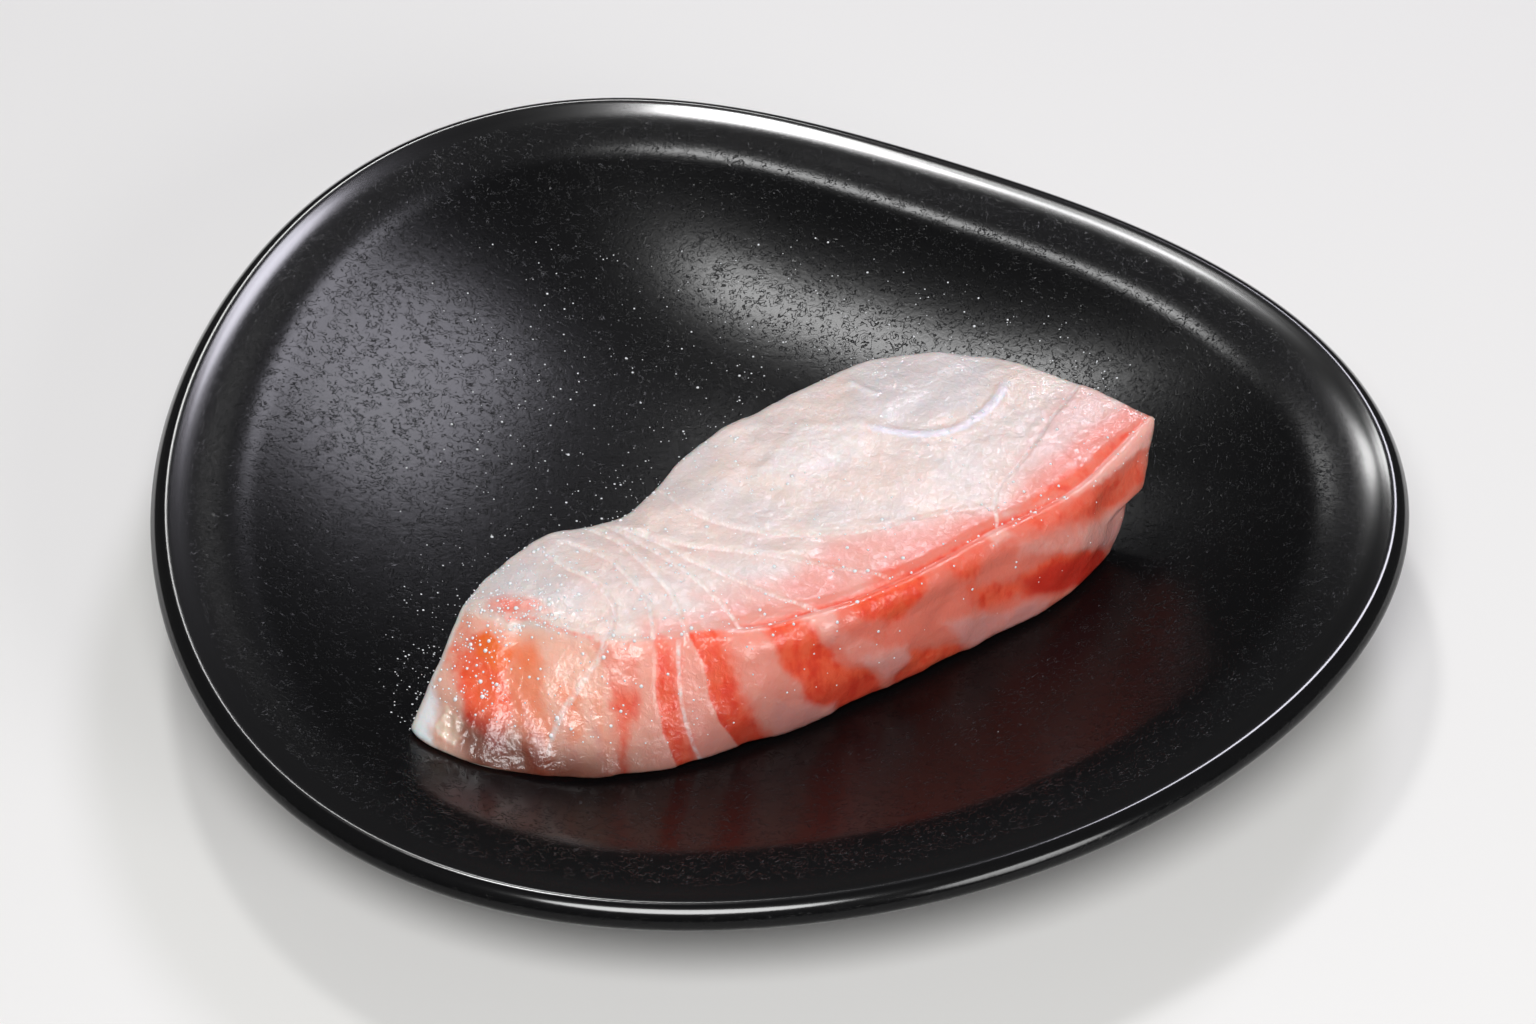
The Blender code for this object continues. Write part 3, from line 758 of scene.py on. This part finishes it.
fibrous_top = plan_map + wander
# Painted shade: one side of each seam is tinted darker and pinker, fading over a few millimetres,
# as a flake's step would shade it.
painted_flake_shade = np.max([np.exp(-reach / SHADE_SPREAD) * (side < 0) * smooth(run * 4.0)
                      for reach, side, run in seam_rows], axis=0) * on_top
top_red = paint(fibrous_top, on_top, RED_TOP)
vein_reach, _, _ = distance_to_curve(plan_map, through(VEIN, SEAM_STEPS))
top_red = np.maximum(top_red, 0.45 * smooth((0.9 - vein_reach) / 0.9))
creased = smooth((fish_share - CREASE_START) / (CREASE_FULL - CREASE_START))
creased *= smooth((1.0 - fish_share) / CREASE_FADE)
from_crease = behind_edge - below_edge - CREASE_PLACE
crease_line = creased * np.exp(-((from_crease - 0.3) / 0.6) ** 2) * (1.0 - is_back)
top_red = np.maximum(top_red, 0.7 * crease_line)
blush, clear = [paint(plan_map, on_top, patches) for patches in (BLUSH_TOP, CLEAR_TOP)]
milky_and_sheen = paint(fibrous_top, on_top, MILKY_AND_SHEEN_TOP)
membrane = (smooth((1.5 - membrane_reach) / 1.2)
            * smooth(np.minimum(membrane_run, 1.0 - membrane_run) * 5.0) * on_top)
# Painted shade: the front and the left end grow darker towards the foot, less so on the right half,
# the fat and the tip.
low = smooth((28.5 - fish_places[:, 2]) / 13.0) * np.maximum(on_front, on_end)
low *= (1.0 - 0.65 * smooth((along - 52.0) / 20.0)) * (1.0 - fat) * (1.0 - 0.8 * tip)
above_glaze = fish_places[:, 2] - bowl_height(*fish_to_plan(fish_places[:, 0], fish_places[:, 1]))
# Painted shade: a brownish darkening at the foot of the left end, where the block meets the glaze.
foot_top = 9.0 - 2.0 * smooth((along - 12.0) / 8.0)
foot = smooth((foot_top - above_glaze) / 5.5) * seen_from_front
foot *= smooth((along - 4.0) / 4.0) * (1.0 - smooth((along - 18.0) / 22.0))
pale_back = is_back * smooth((below_edge - 0.5) / 1.5)
print("the blush covers", round(100.0 * blush.sum() / on_top.sum()), "% of the top")

# %% [markdown]
# ## Relief of the flesh
#
# The knife and the flakes leave real relief, and wet flesh shows every bit of it, so it goes into
# the mesh: grooves and steps at the seams, the deep crease where the top meets the red muscle,
# the roll below it, slightly raised pale bands, a wrinkled lump of fat at the tip, and soft lumps
# everywhere. Each point moves along its own normal by the sum of these.

# %% Depths and widths, in millimetres
SEAM_DEPTH = 0.04
SEAM_WIDTH = 0.4
FLAKE_STEP = 0.26
FLAKE_SPREAD = 5.0
CREASE_DEPTH = 1.25
CREASE_WIDTH = 1.0
CREASE_LIMIT = 6.0
ROLL_DEPTH = 3.2
ROLL_WIDTH = 2.2
ROLL_HEIGHT = 0.6
PALE_RISE = 0.28
FAT_RISE = 0.5
LAYER_STEP = 2.4
LAYER_FOOT, LAYER_TOP = 22.5, 24.0
MEMBRANE_RISE, MILKY_RISE = 0.25, 0.4
LUMPS = ((9.0, 0.45), (3.6, 0.16), (1.5, 0.06))

relief = np.zeros(len(fish_places))
for reach, side, run in seam_rows:
    alive = on_top * smooth(np.minimum(run, 1.0 - run) * 12.0 + 0.3)
    relief -= SEAM_DEPTH * np.exp(-(reach / SEAM_WIDTH) ** 2) * alive
    relief += FLAKE_STEP * np.exp(-reach / FLAKE_SPREAD) * (side > 0) * smooth(reach / 0.5) * alive
in_crease = np.exp(-(from_crease / CREASE_WIDTH) ** 2) * (behind_edge < CREASE_LIMIT)
relief -= creased * CREASE_DEPTH * in_crease * (1.0 - is_back)
roll = np.exp(-((below_edge - ROLL_DEPTH) / ROLL_WIDTH) ** 2)
relief += creased * ROLL_HEIGHT * roll * on_front
relief += PALE_RISE * (front_white - 0.6 * front_red) * on_front
relief += MEMBRANE_RISE * membrane + MILKY_RISE * milky_and_sheen
rough_fat = noise_field(fish_places, 1.3, 7.0)
relief += FAT_RISE * fat * (0.5 + rough_fat)
for size, height in LUMPS:
    relief += height * noise_field(fish_places, size)
print("relief from", relief.min().round(2), "to", relief.max().round(2), "mm")


# %% Move the points and make the piece
NO_SEAM = 9.0


def set_attribute(piece, name, values):
    """A number for each point of the piece, which its material reads by that name."""
    attribute = piece.data.attributes.new(name, "FLOAT", "POINT")
    attribute.data.foreach_set("value", np.asarray(values, np.float32))


shaped = fish_places + fish_normals * relief[:, None]
upper_layer = smooth((shaped[:, 2] - LAYER_FOOT) / (LAYER_TOP - LAYER_FOOT))
near_right_end = smooth((fish_shape[:, 0] - 1.0) * END_REACH + 1.0)
shaped[:, 0] += LAYER_STEP * upper_layer * near_right_end
x, y = fish_to_plan(shaped[:, 0], shaped[:, 1])
z = np.maximum(shaped[:, 2], bowl_height(x, y) + FISH_GAP)
for vert, place in zip(fish_bm.verts, np.column_stack([x, y, z]) * MM):
    vert.co = place
fish = link_piece("sea_bream_block", fish_bm)
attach(fish, "root")
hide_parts("fish_block")
seam_seen = np.where(on_top > 0.3, seam_reach,
                     np.where(seen_from_front > 0.5, front_seam_reach, NO_SEAM))
for name, values in (
        ("red", np.maximum(front_red, top_red)), ("crimson", crimson), ("pink", pink),
        ("white", front_white), ("tan", front_tan), ("orange", orange), ("fat", fat),
        ("tip", tip), ("blush", blush), ("clear", clear), ("milky_and_sheen", milky_and_sheen), ("low", low),
        ("shade", painted_flake_shade), ("foot", foot), ("membrane", membrane), ("seam", seam_seen),
        ("front", seen_from_front * (1.0 - on_top) * (1.0 - pale_back)), ("along", along)):
    set_attribute(fish, name, values)
print("fish has", len(fish.data.polygons), "faces")

# %% [markdown]
# ## Wet raw flesh
#
# Raw bream is slightly see-through: light enters it, scatters among the fibres and comes out a
# millimetre or two away, redder than it went in. That is subsurface scattering. The surface is
# wet, a thin clear coat over a softer sheen, and its tiny bumps break a lamp's reflection into
# glints. The colour is built up in layers, pale flesh first, then blush, red muscle, fat and
# seams, each let in by its own mask. Some layers are painted light: painted shade darkens the
# lower front and the foot of the left end, tints one side of each seam and dims the white fat
# lower down; fine white flecks are fibre and painted glint at once; and the whiter patches on the
# top are partly paler flesh and partly painted sheen.

# %% Flesh
# The near-white flesh colour is partly paler flesh, partly painted sheen and glint.
PALE_TOP, CLEAR_FLESH, CLOUDY_FLESH, MILKY_AND_GLINT_WHITE, MEMBRANE_WHITE, SEAM_WHITE = (
    "#e9d4cb", "#d9d1d1", "#e0d2ce", "#f2eceb", "#e9e4f2", "#fbf1ee")
PALE_FRONT, CREAM_FRONT, PINK_MUSCLE, BLUSH = "#f3a595", "#f5bfab", "#ef8370", "#e87561"
RED_MUSCLE, DEEP_RED, CRIMSON, ORANGE_MUSCLE, TAN_MUSCLE = (
    "#ff6b48", "#f04a30", "#d93427", "#ff7430", "#f68d62")
# The second fat colour is a painted shaded copy of the first.
PINK_FAT, PAINTED_SHADE_PINK_FAT, CREAM, TIP_GREY = "#f1b1a6", "#e59f99", "#fadfcc", "#f4f4f6"
# Painted shade colours: the lower front, the foot of the left end, and one side of each seam.
PAINTED_LOW_SHADE, PAINTED_FOOT_SHADE, PAINTED_FLAKE_SHADE = "#c0c0c4", "#8e6c5e", "#e6c4bb"
CREAM_END, PALE_START = 24.0, 40.0
FRAY_SIZE, FIBRE_SIZE, FIBRE_STRETCH = 2.6, 1.5, 0.28
GRAIN_SIZE, FIBRE_AND_GLINT_FLECK_SIZE, CLOUD_SIZE, WET_SIZE = 1.1, 0.9, 9.0, 1.6
SEAM_EDGE, SEAM_CORE = 0.50, 0.05
SOFT_BUMP, WET_BUMP, CALM_FRONT = 0.22, 0.30, 0.55
LIGHT_REACH = (1.0, 0.4, 0.28)
LIGHT_REACH_MM = 3.0


def raw_flesh():
    material, tree, out = new_material("wet_raw_sea_bream")
    place = add_node(tree, "ShaderNodeTexCoord").outputs["Object"]

    def mask(name):
        return add_node(tree, "ShaderNodeAttribute", {"attribute_name": name}).outputs["Fac"]

    def layer(under, over, factor, blend="MIX"):
        """One colour over another, let in by the factor."""
        under, over = [linear(c) if isinstance(c, str) else c for c in (under, over)]
        return add_node(tree, "ShaderNodeMix", {"data_type": "RGBA", "blend_type": blend},
                        Factor=factor, _6=under, _7=over).outputs[2]

    upright = add_node(tree, "ShaderNodeMapping", Vector=place, Scale=(1.0, 1.0, FIBRE_STRETCH))
    streaks = pattern(tree, upright.outputs["Vector"], FIBRE_SIZE, 3.0)
    blotches = pattern(tree, place, FRAY_SIZE, 5.0, 0.6)
    fray = math_node(tree, "MULTIPLY_ADD", math_node(tree, "ADD", blotches, streaks), 0.5)
    off_middle = math_node(tree, "SUBTRACT", fray, 0.5)
    fine = pattern(tree, place, GRAIN_SIZE, 3.0, 0.6)
    fibre_and_glint_fleck = pattern(tree, place, FIBRE_AND_GLINT_FLECK_SIZE, 2.0, 1.5)

    def frayed(name, strength, low, high):
        """A mask whose edge the fibres push about."""
        pushed = math_node(tree, "MULTIPLY_ADD", off_middle, strength, mask(name))
        return ramp(tree, pushed, low, high)

    front = layer(CREAM_FRONT, PALE_FRONT, ramp(tree, mask("along"), CREAM_END, PALE_START))
    clouds = ramp(tree, pattern(tree, place, CLOUD_SIZE), 0.35, 0.7)
    colour = layer(PALE_TOP, CLOUDY_FLESH, clouds)
    # Fine white flecks: a fibre texture that also stands in for painted glints.
    colour = layer(colour, MILKY_AND_GLINT_WHITE, ramp(tree, fibre_and_glint_fleck, 0.56, 0.70, 0.0, 0.45))
    colour = layer(colour, CLEAR_FLESH, mask("clear"))
    # Painted shade beside the seams.
    colour = layer(colour, PAINTED_FLAKE_SHADE, math_node(tree, "MULTIPLY", mask("shade"), 0.75))
    colour = layer(colour, front, mask("front"))
    colour = layer(colour, BLUSH, mask("blush"))
    colour = layer(colour, PINK_MUSCLE, frayed("pink", 0.5, 0.1, 1.0))
    colour = layer(colour, TAN_MUSCLE, mask("tan"))
    red = layer(RED_MUSCLE, DEEP_RED, ramp(tree, fray, 0.42, 0.68))
    red = layer(red, CRIMSON, mask("crimson"))
    colour = layer(colour, red, frayed("red", 0.9, 0.05, 1.0))
    colour = layer(colour, ORANGE_MUSCLE, frayed("orange", 0.4, 0.1, 0.95))
    # The white fat turns to its painted shaded copy lower down the front.
    fat_white_and_painted_shade = layer(PINK_FAT, PAINTED_SHADE_PINK_FAT, ramp(tree, mask("low"), 0.03, 0.4))
    colour = layer(colour, fat_white_and_painted_shade, frayed("white", 0.9, 0.10, 1.0))
    colour = layer(colour, TIP_GREY, mask("tip"))
    colour = layer(colour, CREAM, frayed("fat", 0.8, 0.2, 0.8))
    # Whiter patches: partly paler flesh, partly painted sheen.
    colour = layer(colour, MILKY_AND_GLINT_WHITE, frayed("milky_and_sheen", 0.8, 0.2, 0.9))
    skin_line = math_node(tree, "MULTIPLY", frayed("membrane", 1.2, 0.3, 0.9), 0.7)
    colour = layer(colour, MEMBRANE_WHITE, skin_line)
    seam_line = ramp(tree, mask("seam"), SEAM_EDGE, SEAM_CORE)
    seam_line = math_node(tree, "MULTIPLY", seam_line, ramp(tree, fine, 0.36, 0.62, 0.25, 0.75))
    colour = layer(colour, SEAM_WHITE, seam_line)
    # Painted shade: the lower front is multiplied darker.
    colour = layer(colour, PAINTED_LOW_SHADE, mask("low"), "MULTIPLY")
    # Painted shade: the foot of the left end is multiplied darker and browner.
    colour = layer(colour, PAINTED_FOOT_SHADE, mask("foot"), "MULTIPLY")

    soft_bump = add_node(tree, "ShaderNodeBump", Strength=0.5, Distance=SOFT_BUMP * MM,
                         Height=fine).outputs["Normal"]
    wet_bump = add_node(tree, "ShaderNodeBump", Distance=WET_BUMP * MM, Normal=soft_bump,
                        Height=pattern(tree, place, WET_SIZE, 3.0, 1.0),
                        Strength=ramp(tree, mask("front"), 0.0, 1.0, 1.0, CALM_FRONT))
    flesh = add_node(tree, "ShaderNodeBsdfPrincipled", Base_Color=colour, Roughness=0.36, IOR=1.38,
                     Subsurface_Weight=0.85, Subsurface_Radius=LIGHT_REACH,
                     Subsurface_Scale=LIGHT_REACH_MM * MM, Coat_Weight=1.0, Coat_Roughness=0.10,
                     Coat_IOR=1.42, Normal=soft_bump, Coat_Normal=wet_bump.outputs["Normal"])
    tree.links.new(flesh.outputs["BSDF"], out.inputs["Surface"])
    return material


fish.data.materials.append(raw_flesh())
print("flesh has", len(fish.data.materials[0].node_tree.nodes), "nodes")

# %% [markdown]
# ## Water beads
#
# A fresh block of fish sweats, and its juice beads on the glaze round it. The beads are tiny flat
# caps of water, thickest behind the block and at its narrow end. Clear beads this small would only
# look grey, so the water is drawn as an opaque near-white, a painted glint like the bright look of
# droplets under a soft box. One bead is a small sphere of twenty faces. Copies of it are scaled,
# turned to the surface they sit on and joined, so that each mist is a single mesh.

# %% One bead and its copies
SEED = 7
BEAD_HEIGHT = 0.5
rng = np.random.default_rng(SEED)


def white_glint_water():
    material, tree, out = new_material("fish_juice_with_painted_glints")
    # Opaque near-white: painted glints, not the colour of water.
    water = add_node(tree, "ShaderNodeBsdfPrincipled", Base_Color=linear("#f4f6f8"), Roughness=0.08,
                     IOR=1.33)
    tree.links.new(water.outputs["BSDF"], out.inputs["Surface"])
    return material


def bead_form():
    """Points and triangles of one bead of radius 1, flattened along Z."""
    bm = bmesh.new()
    bmesh.ops.create_icosphere(bm, subdivisions=1, radius=1.0)
    bmesh.ops.scale(bm, verts=bm.verts[:], vec=(1.0, 1.0, BEAD_HEIGHT))
    points = np.array([v.co[:] for v in bm.verts])
    triangles = np.array([[v.index for v in f.verts] for f in bm.faces])
    bm.free()
    return points, triangles


def bead_radii(sizes, count):
    """Random radii in metres, from the median, spread, least and most in millimetres."""
    median, spread, least, most = sizes
    return np.clip(rng.lognormal(math.log(median), spread, count), least, most) * MM


def scatter_beads(name, places, normals, radii, material):
    """One mesh with a bead of each radius at each place in metres, flat on its normal."""
    points, triangles = bead_form()
    normals = normals / np.linalg.norm(normals, axis=1)[:, None]
    first = np.cross(normals, [0.0, 1.0, 0.3])
    first /= np.linalg.norm(first, axis=1)[:, None]
    second = np.cross(normals, first)
    axes = np.stack([first, second, normals], axis=1) * radii[:, None, None]
    verts = np.einsum("pk,nkc->npc", points, axes) + places[:, None, :]
    faces = triangles[None] + (np.arange(len(places)) * len(points))[:, None, None]
    mesh = bpy.data.meshes.new(name)
    mesh.from_pydata(verts.reshape(-1, 3), [], faces.reshape(-1, 3))
    mesh.shade_smooth()
    mesh.materials.append(material)
    piece = bpy.data.objects.new(name, mesh)
    bpy.context.scene.collection.objects.link(piece)
    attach(piece, "root")
    print(name, "has", len(places), "beads and", len(mesh.polygons), "triangles")
    return piece


# %% Beads on the glaze
SPOTS = 40000
BEAD_DENSITY = 0.75
BEAD_SPREAD = 9.0
GLAZE_BEAD = (0.115, 0.40, 0.06, 0.32)
SLOPE_STEP = 0.5


def bowl_normals(x, y):
    rise_x = (bowl_height(x + SLOPE_STEP, y) - bowl_height(x - SLOPE_STEP, y)) / (2.0 * SLOPE_STEP)
    rise_y = (bowl_height(x, y + SLOPE_STEP) - bowl_height(x, y - SLOPE_STEP)) / (2.0 * SLOPE_STEP)
    return np.column_stack([-rise_x, -rise_y, np.ones(len(x))])


spots = rng.uniform((-88.0, -62.0), (62.0, 66.0), (SPOTS, 2))
steps = np.linspace(0.0, 1.0, 60)
back_edge = np.column_stack(fish_to_plan(*rail(BACK_FOOT, steps).T))
front_edge = np.column_stack(fish_to_plan(*rail(FRONT_FOOT, steps).T))
from_fish = distance_to_curve(spots, back_edge)[0]
under_fish = patch(spots, np.vstack([back_edge, front_edge[::-1]]), 0.2) > 0.0
beyond_tip = smooth((spots[:, 0] - back_edge[0, 0] + 9.0) / 16.0)
past_edge = spots[:, 1] - np.interp(spots[:, 0], back_edge[:, 0], back_edge[:, 1])
behind = beyond_tip * smooth((past_edge + 6.0) / 8.0)
dx, dy = (spots - CENTRE).T
share = np.hypot(dx, dy) / (rim_radius(np.arctan2(dy, dx)) - SHOULDER_INNER)
chance = (np.exp(-from_fish / BEAD_SPREAD) + 0.04) * (0.01 + behind) * (share < 0.9) * ~under_fish
spots = spots[rng.uniform(0.0, 1.0, len(spots)) < BEAD_DENSITY * chance]
water = white_glint_water()
radii = bead_radii(GLAZE_BEAD, len(spots))
heights = bowl_height(spots[:, 0], spots[:, 1])
dish_beads = scatter_beads("beads_on_glaze", np.column_stack([spots, heights]) * MM,
                           bowl_normals(spots[:, 0], spots[:, 1]), radii, water)

# %% Beads on the fish
FISH_BEADS = 1150
FISH_BEAD = (0.15, 0.45, 0.06, 0.40)
GLINT_SPOTS = ((60.0, 22.0, 9.0), (96.0, 13.5, 5.0), (104.0, 14.0, 4.0), (26.0, 6.0, 6.0))
fish_co = np.array([v.co[:] for v in fish.data.vertices])
fish_no = np.array([v.normal[:] for v in fish.data.vertices])
near_tip = np.exp(-np.maximum(along - 14.0, 0.0) / 11.0)
near_seam = np.exp(-seam_reach / 0.7) * on_top
near_crease = np.exp(-np.abs(from_crease) / 0.8)
near_spot = np.max([np.exp(-(np.hypot(plan_map[:, 0] - u, plan_map[:, 1] - v) / reach) ** 2)
                    for u, v, reach in GLINT_SPOTS], axis=0) * on_top
wet = (0.06 + 0.36 * near_tip + 0.5 * near_seam + 0.7 * near_crease + 0.5 * near_spot
       + 0.5 * membrane)
wet *= (below_edge < 16.0) * (1.0 - is_back)
chosen = rng.choice(len(fish_co), FISH_BEADS, replace=False, p=wet / wet.sum())
radii = bead_radii(FISH_BEAD, FISH_BEADS)
fish_beads = scatter_beads("beads_on_fish", fish_co[chosen], fish_no[chosen], radii, water)

# %% [markdown]
# ## Floor and light
#
# The photograph is a studio shot on white. A broad soft box hangs behind the dish on the right,
# and its reflection pools in the left of the bowl. A small one behind on the left makes the
# brighter pool next to the fish and the white band inside the far rim. A smaller one straight
# behind only puts glints on the wet fish, so it gives no diffuse light. A large one overhead and
# a fill from the right front light the flesh itself. The room is dim, or the black glaze would
# look grey.

# %% Floor, world and lamps
FLOOR_SIZE = 6.0


def make_floor():
    bm = bmesh.new()
    bmesh.ops.create_grid(bm, x_segments=2, y_segments=2, size=FLOOR_SIZE / 2.0)
    material, tree, out = new_material("matt_white_paper")
    paper = add_node(tree, "ShaderNodeBsdfPrincipled", Base_Color=linear("#f2f1ef"), Roughness=0.9)
    tree.links.new(paper.outputs["BSDF"], out.inputs["Surface"])
    floor = link_piece("floor", bm, material)


def add_softbox(name, toward, distance, width, depth, power, colour="#ffffff"):
    """An oval soft box that looks at the dish from that direction."""
    lamp = bpy.data.lights.new(name, "AREA")
    lamp.shape = "ELLIPSE"
    lamp.size, lamp.size_y = width, depth
    lamp.energy = power
    lamp.color = linear(colour)[:3]
    holder = bpy.data.objects.new(name, lamp)
    direction = Vector(toward).normalized()
    holder.location = direction * distance
    holder.rotation_euler = (-direction).to_track_quat("-Z", "Y").to_euler()
    bpy.context.scene.collection.objects.link(holder)
    return holder


make_floor()
world = bpy.data.worlds.new("dim_room")
bpy.context.scene.world = world
world.use_nodes = True
world.node_tree.nodes["Background"].inputs["Color"].default_value = linear("#ffffff")
world.node_tree.nodes["Background"].inputs["Strength"].default_value = 0.06
add_softbox("broad_softbox", (0.24, 0.64, 0.73), 1.1, 0.30, 0.27, 2.9, "#f4f2ff")
add_softbox("small_softbox", (-0.15, 0.425, 0.893), 1.1, 0.14, 0.13, 2.1)
add_softbox("glint_softbox", (-0.075, 0.709, 0.701), 1.1, 0.10, 0.09, 0.38).visible_diffuse = False
add_softbox("overhead_softbox", (-0.05, -0.57, 0.82), 1.2, 0.7, 0.45, 9.4)
add_softbox("front_fill", (0.62, -0.68, 0.38), 1.2, 0.5, 0.5, 3.8)
